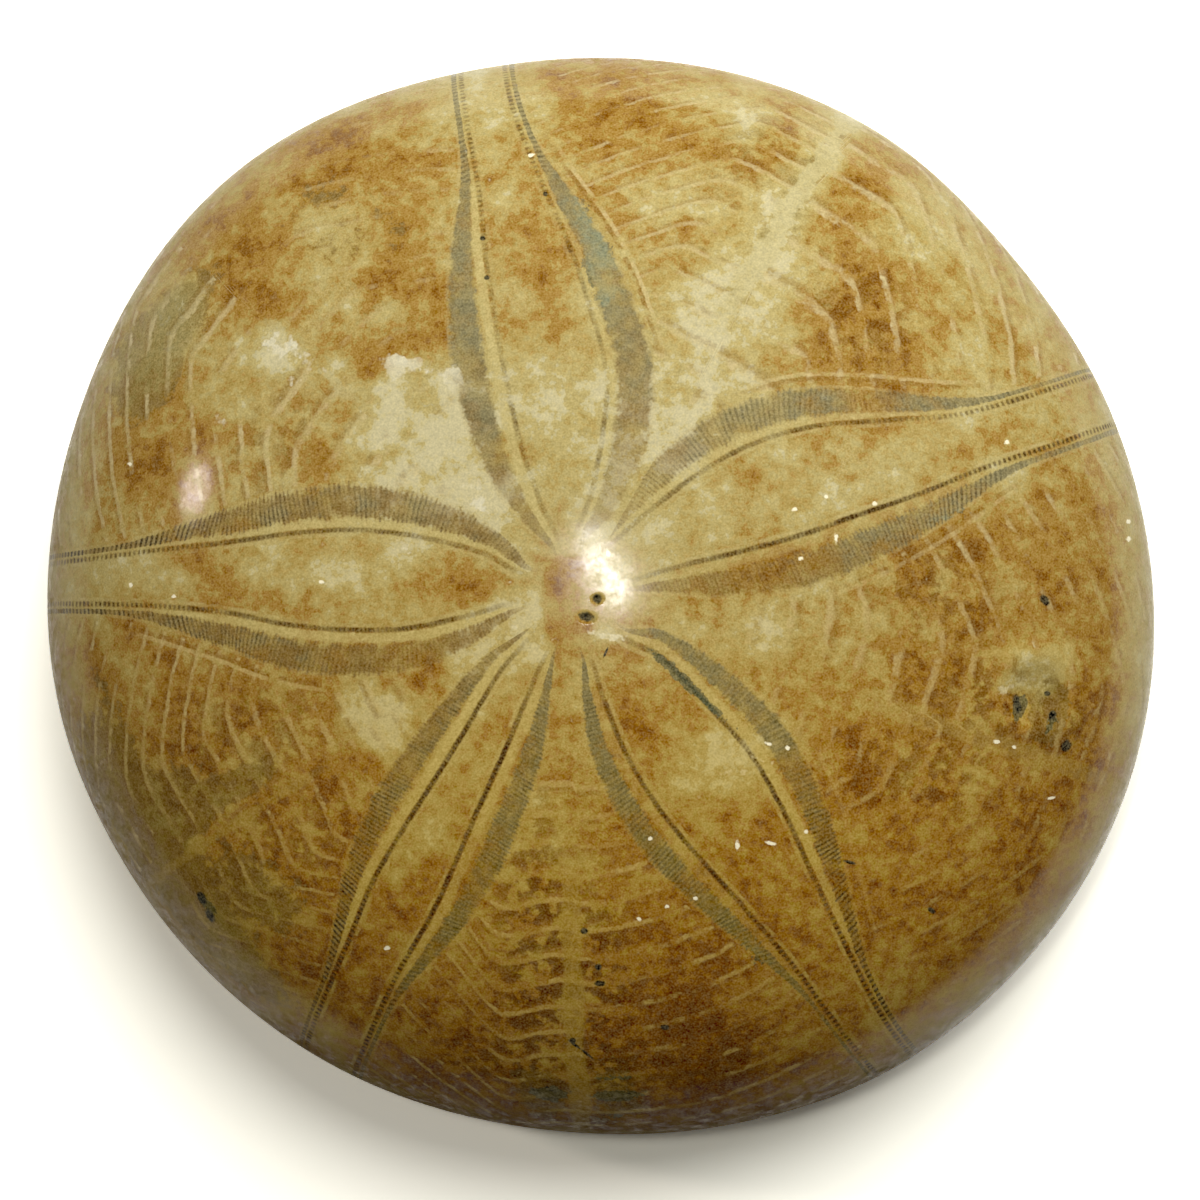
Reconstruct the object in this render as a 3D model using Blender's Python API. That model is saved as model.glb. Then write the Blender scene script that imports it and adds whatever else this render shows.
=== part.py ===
"""Fossil sea urchin: a low, domed irregular urchin whose shell has turned to solid stone.

The whole fossil is one piece, polished all over.  It lies on five flat cushions round its mouth.
+Z is up, +Y is the animal's front, and the origin is on the resting plane under the middle of
the outline.  The apex, where the five petals meet, stands on an upright axis a little off that
middle.  Lengths are in metres and angles in degrees, counterclockwise from +X.
"""

import math

import bmesh
import bpy

# The whole form.
HEIGHT = 0.0280
RIM_HEIGHT = 0.0095
MEAN_RADIUS = 0.0446
APEX = (-0.00031, -0.00109)
DOME_FULLNESS = 2.3
SHOULDER_FULLNESS = 2.0

# Outline: the distance from the apex axis to the rim, at the petals and between them.
RIM = {
    20: 0.0448,
    40: 0.0443,
    60: 0.0450,
    99: 0.0449,
    130: 0.0462,
    160: 0.0451,
    190: 0.0445,
    209: 0.0436,
    240: 0.0428,
    265: 0.0425,
    285: 0.0433,
    304: 0.0445,
    342: 0.0456,
}
PETALS = (22, 101, 178, 240, 304)
PETAL_RELIEF = 0.00012

# Underside: the flat lands between LAND_OUTER and LAND_INNER of the radius, the hollow towards
# the mouth, the five furrows, and what the polishing took off the lands.
LAND_OUTER = 0.80
LAND_INNER = 0.62
HOLLOW_DEPTH = 0.0034
FURROW_DEPTH = 0.0008
FURROW_WIDTH = 0.0040
POLISHED_OFF = 0.00015

# Mouth: a five-sided pit with a swollen lip between each two furrows.
MOUTH_FORWARD = 0.0030
MOUTH_RADIUS = 0.0040
MOUTH_DEPTH = 0.0050
MOUTH_STAR = 0.16
LIP_RADIUS = 0.0066
LIP_HEIGHT = 0.0017
LIP_WIDTH = 0.0027
LEAF_RADIUS = 0.0108
LEAF_LENGTH = 0.0046
LEAF_DEPTH = 0.0008

# Vent: an oval pit in the underside, between the two hind petals.
VENT_ANGLE = 272
VENT_RADIUS = 0.0335
VENT_SIZE = (0.0050, 0.0070, 0.0052)
VENT_HEIGHT = 0.0003

# Pores of the apical plate: place beside the apex, half-size, and depth.
PORES = (
    (0.00172, 0.00005, 0.00026, 0.00026, 0.00040),
    (0.00087, -0.00135, 0.00050, 0.00026, 0.00040),
    (0.00020, 0.00220, 0.00026, 0.00034, 0.00025),
    (-0.00194, 0.00091, 0.00028, 0.00024, 0.00020),
)
DENT_PLACE = (0.0352, -0.0073)
DENT_RADIUS = 0.0019
DENT_DEPTH = 0.0005
DENT_LIP = 0.0003

# Mesh fineness.
STEPS_AROUND = 96
SHOULDER_STEPS = 14
CURL_STEPS = 5
APEX_RINGS = (0.0098, 0.0068, 0.0047, 0.0034, 0.0027, 0.0022, 0.0018, 0.0014, 0.0010, 0.0006, 0.0003)
HOLLOW_RINGS = (
    0.0322, 0.0295, 0.0265, 0.0235, 0.0205, 0.0178, 0.0154, 0.0134, 0.0117, 0.0102,
    0.0089, 0.0078, 0.0068, 0.0059, 0.0051, 0.0043, 0.0035, 0.0026, 0.0016, 0.0007,
)


def smooth_step(value):
    """0 below 0, 1 above 1, and a smooth rise between."""
    value = min(max(value, 0.0), 1.0)
    return value * value * (3.0 - 2.0 * value)


def bump(distance, width):
    """A smooth hump of height 1, down to about a third at one width."""
    return math.exp(-((distance / width) ** 2))


def rim_radius(angle):
    """Distance from the apex axis to the rim: a smooth closed curve through the RIM values."""
    knots = sorted(RIM)
    count = len(knots)
    angle %= 360.0
    after = sum(knot <= angle for knot in knots)
    names = [knots[(after + shift) % count] for shift in (-2, -1, 0, 1)]
    radii = [RIM[name] for name in names]
    gaps = [(names[i + 1] - names[i]) % 360.0 for i in range(3)]
    slope_in = (radii[2] - radii[0]) / (gaps[0] + gaps[1])
    slope_out = (radii[3] - radii[1]) / (gaps[1] + gaps[2])
    part = ((angle - names[1]) % 360.0) / gaps[1]
    rise = smooth_step(part)
    ease_in = part * (1.0 - part) ** 2 * gaps[1] * slope_in
    ease_out = part**2 * (part - 1.0) * gaps[1] * slope_out
    return radii[1] + (radii[2] - radii[1]) * rise + ease_in + ease_out


def between_petals(angle):
    """(degrees off the nearest petal, degrees off the nearest cushion) of a direction."""
    for petal, following in zip(PETALS, PETALS[1:] + (PETALS[0] + 360,)):
        past = (angle - petal) % 360.0
        gap = following - petal
        if past <= gap:
            break
    return min(past, gap - past), abs(past - gap / 2.0)


def petal_wave(angle):
    """1 along each petal's middle, -1 along each cushion's, and smooth between."""
    off_petal, off_cushion = between_petals(angle)
    return math.cos(math.pi * off_petal / (off_petal + off_cushion))


def profile():
    """(radius, height) from the apex over the dome, round the rim and in to the mouth."""
    points = [(0.0, HEIGHT)]
    dome = HEIGHT - RIM_HEIGHT
    for radius in reversed(APEX_RINGS):
        share = (1.0 - (radius / MEAN_RADIUS) ** DOME_FULLNESS) ** (1.0 / SHOULDER_FULLNESS)
        points.append((radius, RIM_HEIGHT + dome * share))
    start = math.acos((APEX_RINGS[0] / MEAN_RADIUS) ** (DOME_FULLNESS / 2.0))
    for step in range(1, SHOULDER_STEPS + 1):
        turn = start * (1.0 - step / SHOULDER_STEPS)
        radius = MEAN_RADIUS * math.cos(turn) ** (2.0 / DOME_FULLNESS)
        points.append((radius, RIM_HEIGHT + dome * math.sin(turn) ** (2.0 / SHOULDER_FULLNESS)))
    for step in range(1, CURL_STEPS + 1):
        turn = 0.5 * math.pi * step / CURL_STEPS
        share = LAND_OUTER + (1.0 - LAND_OUTER) * math.cos(turn)
        points.append((MEAN_RADIUS * share, RIM_HEIGHT * (1.0 - math.sin(turn))))
    points.extend((radius, 0.0) for radius in HOLLOW_RINGS)
    points.append((0.0, 0.0))
    return points


def underside_lift(radius, angle):
    """Height of the underside above the resting plane."""
    share = radius / MEAN_RADIUS
    off_petal, off_cushion = between_petals(angle)
    side = math.radians(off_petal) * radius
    hollow = HOLLOW_DEPTH * max(0.0, 1.0 - (share / LAND_INNER) ** 2) ** 1.5
    reach = smooth_step((1.0 - share) / 0.12) * smooth_step((share - 0.08) / 0.15)
    furrow = FURROW_DEPTH * reach * bump(side, FURROW_WIDTH * (0.4 + share))
    leaf = LEAF_DEPTH * bump(side, 0.5 * FURROW_WIDTH) * bump(radius - LEAF_RADIUS, LEAF_LENGTH)
    lip_side = math.radians(off_cushion) * radius
    lip = LIP_HEIGHT * bump(lip_side, LIP_WIDTH) * bump(radius - LIP_RADIUS, 0.7 * LIP_WIDTH)
    edge = MOUTH_RADIUS * (1.0 + MOUTH_STAR * petal_wave(angle))
    mouth = MOUTH_DEPTH * smooth_step((edge + 0.0009 - radius) / 0.0022)
    return max(0.0, hollow + furrow + leaf - lip + mouth - POLISHED_OFF)


def dome_relief(x, y, radius, angle):
    """Small hills and hollows of the upper side: faint petals, apical pores and the dent."""
    share = radius / MEAN_RADIUS
    relief = PETAL_RELIEF * smooth_step((share - 0.15) / 0.3) * smooth_step((1.0 - share) / 0.3)
    relief *= petal_wave(angle)
    for across, along, half_width, half_length, depth in PORES:
        inside = ((x - across) / half_width) ** 2 + ((y - along) / half_length) ** 2
        relief -= depth * math.exp(-inside)
    distance = math.hypot(x - DENT_PLACE[0], y - DENT_PLACE[1])
    relief -= DENT_DEPTH * bump(distance, DENT_RADIUS)
    relief += DENT_LIP * bump(distance - 1.6 * DENT_RADIUS, 0.6 * DENT_RADIUS)
    return relief


def shape_vertex(vertex):
    """Moves a point of the turned blank to its place on the fossil."""
    x, y, z = vertex.co
    radius = math.hypot(x, y)
    angle = math.degrees(math.atan2(y, x)) % 360.0
    share = radius / MEAN_RADIUS
    grown = 1.0 + (rim_radius(angle) / MEAN_RADIUS - 1.0) * share**2
    below = z < RIM_HEIGHT - 0.0001
    if below:
        z += underside_lift(radius, angle)
        y += MOUTH_FORWARD * (1.0 - share**2)
    elif z > RIM_HEIGHT + 0.0001:
        z += dome_relief(x, y, radius, angle)
    vertex.co = (APEX[0] + x * grown, APEX[1] + y * grown, z)


def turned_blank():
    """The profile spun once round the apex axis, closed at both poles."""
    mesh = bmesh.new()
    points = [mesh.verts.new((radius, 0.0, height)) for radius, height in profile()]
    edges = [mesh.edges.new(pair) for pair in zip(points, points[1:])]
    bmesh.ops.spin(
        mesh,
        geom=points + edges,
        axis=(0.0, 0.0, 1.0),
        cent=(0.0, 0.0, 0.0),
        angle=2.0 * math.pi,
        steps=STEPS_AROUND,
        use_merge=True,
    )
    bmesh.ops.remove_doubles(mesh, verts=mesh.verts, dist=0.000002)
    return mesh


def polished_stone():
    """Straw and amber calcite with a hand polish."""
    material = bpy.data.materials.new("polished_calcite")
    material.use_nodes = True
    shader = material.node_tree.nodes["Principled BSDF"]
    shader.inputs["Base Color"].default_value = (0.46, 0.30, 0.10, 1.0)
    shader.inputs["Roughness"].default_value = 0.22
    shader.inputs["Metallic"].default_value = 0.0
    return material


def vent_cutter():
    """An oval ball that cuts the vent; it is a tool and not a part of the fossil."""
    mesh = bmesh.new()
    bmesh.ops.create_uvsphere(mesh, u_segments=24, v_segments=12, radius=0.5)
    data = bpy.data.meshes.new("vent_cutter")
    turn = math.radians(VENT_ANGLE)
    for vertex in mesh.verts:
        across, along, up = (vertex.co[i] * VENT_SIZE[i] for i in range(3))
        out = VENT_RADIUS + along
        vertex.co = (
            APEX[0] + out * math.cos(turn) - across * math.sin(turn),
            APEX[1] + out * math.sin(turn) + across * math.cos(turn),
            VENT_HEIGHT + up,
        )
    bmesh.ops.recalc_face_normals(mesh, faces=mesh.faces)
    mesh.to_mesh(data)
    mesh.free()
    cutter = bpy.data.objects.new("vent_cutter", data)
    cutter.hide_render = True
    cutter.display_type = "WIRE"
    bpy.context.scene.collection.objects.link(cutter)
    return cutter


def make_sea_urchin():
    """The whole fossil as one closed solid."""
    mesh = turned_blank()
    for vertex in mesh.verts:
        shape_vertex(vertex)
    bmesh.ops.recalc_face_normals(mesh, faces=mesh.faces)
    data = bpy.data.meshes.new("sea_urchin")
    mesh.to_mesh(data)
    mesh.free()
    data.shade_smooth()
    data.materials.append(polished_stone())
    urchin = bpy.data.objects.new("sea_urchin", data)
    bpy.context.scene.collection.objects.link(urchin)
    vent = urchin.modifiers.new("vent", "BOOLEAN")
    vent.operation = "DIFFERENCE"
    vent.object = vent_cutter()
    return urchin


for leftover in list(bpy.data.objects):
    bpy.data.objects.remove(leftover, do_unlink=True)
make_sea_urchin()
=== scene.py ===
import math

import bmesh
import bpy
import numpy as np
from mathutils import Matrix, Vector

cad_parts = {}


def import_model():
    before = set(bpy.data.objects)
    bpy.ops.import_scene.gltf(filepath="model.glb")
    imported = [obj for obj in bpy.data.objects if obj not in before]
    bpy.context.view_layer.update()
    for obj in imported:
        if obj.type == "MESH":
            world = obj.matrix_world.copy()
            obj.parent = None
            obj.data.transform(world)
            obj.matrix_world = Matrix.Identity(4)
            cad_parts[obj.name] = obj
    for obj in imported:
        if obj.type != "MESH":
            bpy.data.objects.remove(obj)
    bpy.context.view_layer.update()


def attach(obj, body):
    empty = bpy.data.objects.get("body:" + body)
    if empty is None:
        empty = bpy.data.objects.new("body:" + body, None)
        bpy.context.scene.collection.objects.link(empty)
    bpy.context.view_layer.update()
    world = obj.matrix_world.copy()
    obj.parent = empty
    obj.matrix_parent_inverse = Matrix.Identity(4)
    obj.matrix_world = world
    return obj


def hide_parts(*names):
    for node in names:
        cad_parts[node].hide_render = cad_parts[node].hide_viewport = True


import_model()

# ---------------------------------------------------------------------------------------------
# The stone.
# A low, domed urchin whose shell and filling have turned together to calcite, ground and then
# polished by hand.  A blank is turned round the apex axis, and the lopsided outline, the
# furrows, the mouth, the vent and the pores are worked into it.  Lengths are in millimetres.
# ---------------------------------------------------------------------------------------------

MM = 0.001
HEIGHT = 28.0
RIM_HEIGHT = 9.5
MEAN_RADIUS = 44.6
APEX = (-0.31, -1.09)
DOME_FULLNESS = 2.3
LAND_OUTER = 0.80
LAND_INNER = 0.62
DOME_POINTS = 1500
CURL_POINTS = 400

RIM = {
    20: 44.8, 40: 44.3, 60: 45.0, 99: 44.9, 130: 46.2, 160: 45.1, 190: 44.5,
    209: 43.6, 240: 42.8, 265: 42.5, 285: 43.3, 304: 44.5, 342: 45.6,
}
FURROWS = (22, 101, 178, 240, 304)


def eased(value):
    """0 below 0, 1 above 1, and a smooth rise between."""
    value = np.clip(value, 0.0, 1.0)
    return value * value * (3.0 - 2.0 * value)


def hump(distance, width):
    """A smooth hill of height 1, down to about a third at one width."""
    return np.exp(-((distance / width) ** 2))


def curve(stations, values, at):
    """A smooth curve through values set at rising stations, level beyond both ends."""
    stations = np.asarray(stations, float)
    values = np.asarray(values, float)
    slopes = np.zeros(len(values))
    slopes[1:-1] = (values[2:] - values[:-2]) / (stations[2:] - stations[:-2])
    at = np.clip(at, stations[0], stations[-1])
    before = np.clip(np.searchsorted(stations, at, side="right") - 1, 0, len(stations) - 2)
    gap = stations[before + 1] - stations[before]
    part = (at - stations[before]) / gap
    leaving = part * (1.0 - part) ** 2 * gap * slopes[before]
    arriving = part**2 * (part - 1.0) * gap * slopes[before + 1]
    return values[before] + (values[before + 1] - values[before]) * eased(part) + leaving + arriving


def turned_from(degrees, middle):
    """How far a direction lies counterclockwise of a middle one, from -180 to 180 degrees."""
    return (degrees - middle + 180.0) % 360.0 - 180.0


def rim_radius(degrees):
    """Distance from the apex axis to the rim."""
    knots = np.array(sorted(RIM), float)
    radii = np.array([RIM[int(knot)] for knot in knots])
    lap = np.concatenate([knots - 360.0, knots, knots + 360.0])
    return curve(lap, np.tile(radii, 3), degrees % 360.0)


def turned_profile():
    """(radius, height, length so far) from the apex over the rim and in to the mouth."""
    turn = np.linspace(0.5 * np.pi, 0.0, DOME_POINTS)
    radius = MEAN_RADIUS * np.cos(turn) ** (2.0 / DOME_FULLNESS)
    height = RIM_HEIGHT + (HEIGHT - RIM_HEIGHT) * np.sin(turn)
    curl = np.linspace(0.0, 0.5 * np.pi, CURL_POINTS)[1:]
    share = LAND_OUTER + (1.0 - LAND_OUTER) * np.cos(curl)
    radius = np.concatenate([radius, MEAN_RADIUS * share, [0.0]])
    height = np.concatenate([height, RIM_HEIGHT * (1.0 - np.sin(curl)), [0.0]])
    radius[0] = 0.0
    steps = np.hypot(np.diff(radius), np.diff(height))
    return radius, height, np.concatenate([[0.0], np.cumsum(steps)])


profile_radius, profile_height, profile_length = turned_profile()
RIM_REACH = float(profile_length[DOME_POINTS - 1])
WHOLE_REACH = float(profile_length[-1])

# Rings of the blank: close together round the open pores by the apex, and wider beyond.
STEPS_AROUND = 400
PORE_FIELD = 4.0
PORE_FIELD_GAP = 0.16
DOME_GAP = 0.44
UNDERSIDE_GAP = 0.52
SAME_POINT = 0.0005
rings = np.concatenate([
    np.arange(0.0, PORE_FIELD, PORE_FIELD_GAP),
    np.arange(PORE_FIELD, RIM_REACH, DOME_GAP),
    np.arange(RIM_REACH, WHOLE_REACH, UNDERSIDE_GAP),
    [WHOLE_REACH],
])

blank = bmesh.new()
reach_layer = blank.verts.layers.float.new("reach")
ring_points = []
for ring in rings:
    ring_radius = np.interp(ring, profile_length, profile_radius)
    ring_height = np.interp(ring, profile_length, profile_height)
    point = blank.verts.new((ring_radius, 0.0, ring_height))
    point[reach_layer] = ring
    ring_points.append(point)
ring_edges = [blank.edges.new(pair) for pair in zip(ring_points, ring_points[1:])]
bmesh.ops.spin(
    blank,
    geom=ring_points + ring_edges,
    axis=(0.0, 0.0, 1.0),
    cent=(0.0, 0.0, 0.0),
    angle=2.0 * math.pi,
    steps=STEPS_AROUND,
    use_merge=True,
)
bmesh.ops.remove_doubles(blank, verts=blank.verts, dist=SAME_POINT)
bmesh.ops.recalc_face_normals(blank, faces=blank.faces)
stone_mesh = bpy.data.meshes.new("polished_urchin")
blank.to_mesh(stone_mesh)
blank.free()

count = len(stone_mesh.vertices)
place = np.empty(count * 3, np.float32)
stone_mesh.vertices.foreach_get("co", place)
place = place.reshape(-1, 3).astype(float)
reach = np.empty(count, np.float32)
stone_mesh.attributes["reach"].data.foreach_get("value", reach)
reach = reach.astype(float)
blank_radius = np.hypot(place[:, 0], place[:, 1])
angle = np.degrees(np.arctan2(place[:, 1], place[:, 0])) % 360.0
share = blank_radius / MEAN_RADIUS
above = reach < RIM_REACH

# 1 underneath and 0 on the dome: stains, marks and dull places fade out just below the rim.
FADE_BEFORE_RIM = 1.0
FADE_LENGTH = 6.0
under = eased((reach - RIM_REACH + FADE_BEFORE_RIM) / FADE_LENGTH)


def between_furrows(degrees):
    """(degrees off the nearest furrow, degrees off the nearest cushion)."""
    nearest = np.zeros(len(degrees))
    cushion = np.zeros(len(degrees))
    for furrow, following in zip(FURROWS, FURROWS[1:] + (FURROWS[0] + 360,)):
        past = (degrees - furrow) % 360.0
        gap = following - furrow
        here = past <= gap
        nearest[here] = np.minimum(past, gap - past)[here]
        cushion[here] = np.abs(past - gap / 2.0)[here]
    return nearest, cushion


off_furrow, off_cushion = between_furrows(angle)
furrow_wave = np.cos(np.pi * off_furrow / (off_furrow + off_cushion))
furrow_side = np.radians(off_furrow) * blank_radius
cushion_side = np.radians(off_cushion) * blank_radius

# The underside: flat lands, a hollow towards the mouth, furrows, lips and the five-sided mouth.
HOLLOW_DEPTH = 3.4
FURROW_DEPTH = 0.8
FURROW_WIDTH = 4.0
FURROW_BEGIN = 0.08
FURROW_RISE = 0.15
FURROW_FALL = 0.12
POLISHED_OFF = 0.15
MOUTH_FORWARD = 3.0
MOUTH_RADIUS = 4.0
MOUTH_DEPTH = 5.0
MOUTH_STAR = 0.16
MOUTH_FLARE = 0.9
MOUTH_SLOPE = 2.2
LIP_RADIUS = 6.6
LIP_HEIGHT = 1.7
LIP_WIDTH = 2.7
LEAF_RADIUS = 10.8
LEAF_LENGTH = 4.6
LEAF_DEPTH = 0.8
VENT_ANGLE = 272.0
VENT_RADIUS = 33.5
VENT_SIZE = (2.5, 3.5, 2.6)
VENT_HEIGHT = 0.3

hollow = HOLLOW_DEPTH * np.maximum(0.0, 1.0 - (share / LAND_INNER) ** 2) ** 1.5
furrow_run = eased((1.0 - share) / FURROW_FALL) * eased((share - FURROW_BEGIN) / FURROW_RISE)
furrow = FURROW_DEPTH * furrow_run * hump(furrow_side, FURROW_WIDTH * (0.4 + share))
leaf = LEAF_DEPTH * hump(furrow_side, 0.5 * FURROW_WIDTH)
leaf *= hump(blank_radius - LEAF_RADIUS, LEAF_LENGTH)
lip = LIP_HEIGHT * hump(cushion_side, LIP_WIDTH) * hump(blank_radius - LIP_RADIUS, 0.7 * LIP_WIDTH)
mouth_edge = MOUTH_RADIUS * (1.0 + MOUTH_STAR * furrow_wave)
mouth = MOUTH_DEPTH * eased((mouth_edge + MOUTH_FLARE - blank_radius) / MOUTH_SLOPE)
underside = np.maximum(0.0, hollow + furrow + leaf - lip + mouth - POLISHED_OFF)

vent_turn = math.radians(VENT_ANGLE)
vent_out = place[:, 0] * math.cos(vent_turn) + place[:, 1] * math.sin(vent_turn)
vent_across = place[:, 1] * math.cos(vent_turn) - place[:, 0] * math.sin(vent_turn)
vent_inside = (vent_across / VENT_SIZE[0]) ** 2 + ((vent_out - VENT_RADIUS) / VENT_SIZE[1]) ** 2
vent = VENT_HEIGHT + VENT_SIZE[2] * np.sqrt(np.clip(1.0 - vent_inside, 0.0, 1.0))
underside = np.where((vent_inside < 1.0) & ~above, np.maximum(underside, vent), underside)

# The upper side: faint petals, two open pores in the apical plate and one dent with a raised lip.
# Each pore is given by its place, half-sizes and depth.
PETAL_RELIEF = 0.12
PETAL_RISE = 0.3
PETAL_BEGIN = 0.15
PORES = (
    (1.72, 0.05, 0.34, 0.34, 0.20),
    (0.87, -1.35, 0.55, 0.32, 0.20),
)
DENT = (35.2, -7.3)
DENT_RADIUS = 1.9
DENT_DEPTH = 0.5
DENT_LIP = 0.3

# The polish is duller along the hind rim and round the pores, and clearer on the right hind rim.
HIND_RIM = -33.0
HIND_RIM_DEPTH = 5.0
HIND_RIM_DULL = 0.20
CLEAR_RIM_ANGLE = 330.0
CLEAR_RIM_SPREAD = 34.0
CLEAR_RIM_FROM = 0.86
CLEAR_RIM_RISE = 0.1
CLEAR_RIM_GLOSS = 0.22

dome = PETAL_RELIEF * eased((share - PETAL_BEGIN) / PETAL_RISE)
dome *= eased((1.0 - share) / PETAL_RISE) * furrow_wave
dull = HIND_RIM_DULL * eased((HIND_RIM - place[:, 1]) / HIND_RIM_DEPTH)
clear_rim = eased((share - CLEAR_RIM_FROM) / CLEAR_RIM_RISE)
clear_rim *= hump(turned_from(angle, CLEAR_RIM_ANGLE), CLEAR_RIM_SPREAD)
dull = (dull - CLEAR_RIM_GLOSS * clear_rim) * (1.0 - under)
for pore_x, pore_y, half_width, half_length, depth in PORES:
    spread = ((place[:, 0] - pore_x) / half_width) ** 2 + ((place[:, 1] - pore_y) / half_length) ** 2
    dome -= depth * np.exp(-(spread**3))
    dull += np.exp(-((spread / 2.0) ** 2))
dent_distance = np.hypot(place[:, 0] - DENT[0], place[:, 1] - DENT[1])
dome -= DENT_DEPTH * hump(dent_distance, DENT_RADIUS)
dome += DENT_LIP * hump(dent_distance - 1.6 * DENT_RADIUS, 0.6 * DENT_RADIUS)

grown = 1.0 + (rim_radius(angle) / MEAN_RADIUS - 1.0) * share**2
plan_x = place[:, 0] * grown
plan_y = place[:, 1] * grown
finished = np.empty((count, 3))
finished[:, 0] = APEX[0] + plan_x
finished[:, 1] = APEX[1] + plan_y + np.where(above, 0.0, MOUTH_FORWARD * (1.0 - share**2))
finished[:, 2] = place[:, 2] + np.where(above, dome, underside)
stone_mesh.vertices.foreach_set("co", (finished * MM).astype(np.float32).ravel())
stone_mesh.update()
stone_mesh.shade_smooth()


def record(name, values):
    """Keeps one number for every point of the stone, for its material to read."""
    layer = stone_mesh.attributes.get(name)
    if layer is None:
        layer = stone_mesh.attributes.new(name, "FLOAT", "POINT")
    layer.data.foreach_set("value", np.asarray(values, np.float32))


record("dull", dull)

# ---------------------------------------------------------------------------------------------
# The petals.
# Five petals leave the apex.  Each side has a row of round pores, a plain stripe, and a band of
# long slits cut across it; towards the rim the band closes to a second row of pores.  They are
# flush with the polish, so the mesh only holds where a point lies across and along them.
# ---------------------------------------------------------------------------------------------

# How far each row of pores stands from the petal's middle line, at these lengths from the apex:
# the petal's direction, its counterclockwise row and its clockwise row.
ROW_STATIONS = (4, 8, 13, 18, 23, 28, 34, 42, 52, 75, 92)
PETALS = (
    (22, (3.0, 4.1, 5.5, 6.2, 5.7, 4.1, 2.4, 1.9, 2.0, 1.6, 0.9),
         (0.3, 0.6, 1.3, 1.9, 2.1, 2.3, 2.2, 2.4, 2.2, 1.6, 0.9)),
    (101, (0.3, 1.2, 1.9, 2.1, 2.1, 2.0, 1.7, 1.9, 2.1, 1.6, 0.9),
          (0.8, 2.7, 4.6, 5.8, 5.4, 4.7, 3.3, 1.9, 1.5, 1.6, 0.9)),
    (178, (0.3, 1.4, 2.6, 2.9, 2.6, 1.8, 1.4, 1.3, 1.3, 1.5, 0.9),
          (1.9, 3.5, 4.6, 5.0, 4.6, 3.8, 3.1, 2.3, 1.9, 1.6, 0.9)),
    (240, (0.1, 0.5, 1.1, 1.5, 2.0, 2.3, 2.1, 2.3, 2.3, 1.6, 0.9),
          (1.6, 2.3, 2.4, 2.6, 2.9, 3.0, 2.5, 2.2, 2.0, 1.6, 0.9)),
    (304, (1.3, 3.1, 4.0, 4.6, 4.2, 3.3, 2.3, 1.3, 1.2, 1.5, 0.9),
          (1.5, 2.5, 3.5, 3.7, 3.2, 2.6, 2.1, 2.0, 1.9, 1.6, 0.9)),
)
# Each side: how far out its band begins and ends, greyness near the apex and towards the rim,
# strength of the band near the apex, darkness of its pore row, paleness of the stripe between,
# strength of its border line, and of its slits near the apex, towards the rim and at the tip.
SIDES = (
    ((0.93, 0.95, 0.35, 0.85, 0.50, 0.60, 0.65, 0.8, 0.55, 0.30, 0.35),
     (1.28, 1.08, 0.15, 0.75, 0.65, 0.90, 0.30, 0.6, 0.40, 0.65, 0.30)),
    ((1.36, 1.09, 0.45, 0.80, 0.90, 0.40, 0.85, 0.0, 0.08, 0.05, 0.45),
     (0.85, 1.03, 0.30, 0.85, 0.50, 0.35, 0.45, 1.0, 0.06, 0.05, 0.55)),
    ((1.15, 1.00, 0.05, 0.45, 1.00, 0.80, 0.90, 0.9, 0.40, 0.80, 0.85),
     (0.97, 1.00, 0.40, 0.35, 1.00, 0.70, 0.80, 0.0, 0.60, 1.00, 1.00)),
    ((1.38, 0.94, 0.80, 0.65, 1.20, 1.00, 0.75, 0.0, 0.70, 0.50, 0.45),
     (1.32, 0.92, 0.45, 0.40, 1.05, 1.00, 1.00, 0.0, 0.50, 1.00, 0.90)),
    ((1.42, 0.97, 0.80, 0.35, 1.10, 0.90, 0.85, 0.3, 0.35, 1.05, 0.95),
     (1.20, 0.86, 0.85, 0.80, 1.30, 0.85, 0.30, 0.0, 0.55, 0.60, 0.35)),
)
# Breaks in the bands where the stone shows: petal, side, length along, half-length and strength.
BREAKS = (
    (0, 0, 27.0, 1.6, 0.90), (0, 0, 21.0, 0.8, 0.3), (1, 0, 10.4, 0.8, 0.6),
    (2, 0, 14.5, 2.0, 0.45), (1, 1, 25.0, 0.7, 0.4), (0, 1, 17.0, 3.0, 0.4), (2, 1, 7.5, 1.5, 0.4),
    (3, 1, 28.8, 0.6, 0.5),
)
# The band's inner and outer edge beyond the row, the slant of its slits, and the pores' spacing.
BAND_STATIONS = (3, 6, 9, 12, 17, 21, 25, 28, 30.5, 32.6, 35, 37.5, 41, 52, 75)
BAND_INNER = (0.25, 0.48, 0.72, 0.92, 1.05, 1.05, 0.95, 0.80, 0.68, 0.60, 0.50, 0.44, 0.40, 0.38, 0.36)
BAND_OUTER = (0.45, 1.15, 2.00, 2.80, 3.50, 3.65, 3.30, 2.75, 2.25, 1.80, 1.28, 0.90, 0.78, 0.74, 0.70)
SLIT_STATIONS = (8, 22, 27, 31, 38, 52)
SLIT_SLANT = (0.32, 0.36, 0.10, -0.30, -0.15, 0.0)
PITCH_STATIONS = (0, 20, 30, 38, 52, 92)
PORE_PITCH = (0.31, 0.34, 0.41, 0.49, 0.52, 0.56)
# The middle seam between each petal and the next.
SEAMS = (61.0, 138.0, 211.0, 270.0, 341.5)
# Where each change along a petal begins, and the length that it takes.
TIP = (32.0, 5.0)
TIP_STRIPE_LOSS = 0.5
GREYING = (12.0, 16.0)
BAND_GROWTH = (8.0, 12.0)
BORDER_START = (19.0, 4.0)
BORDER_END = (34.0, 4.0)
SLIT_CHANGE = (19.0, 9.0)


def changed(length, change):
    """0 before a change along the petal, 1 after it."""
    begin, over = change
    return eased((length - begin) / over)


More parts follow.
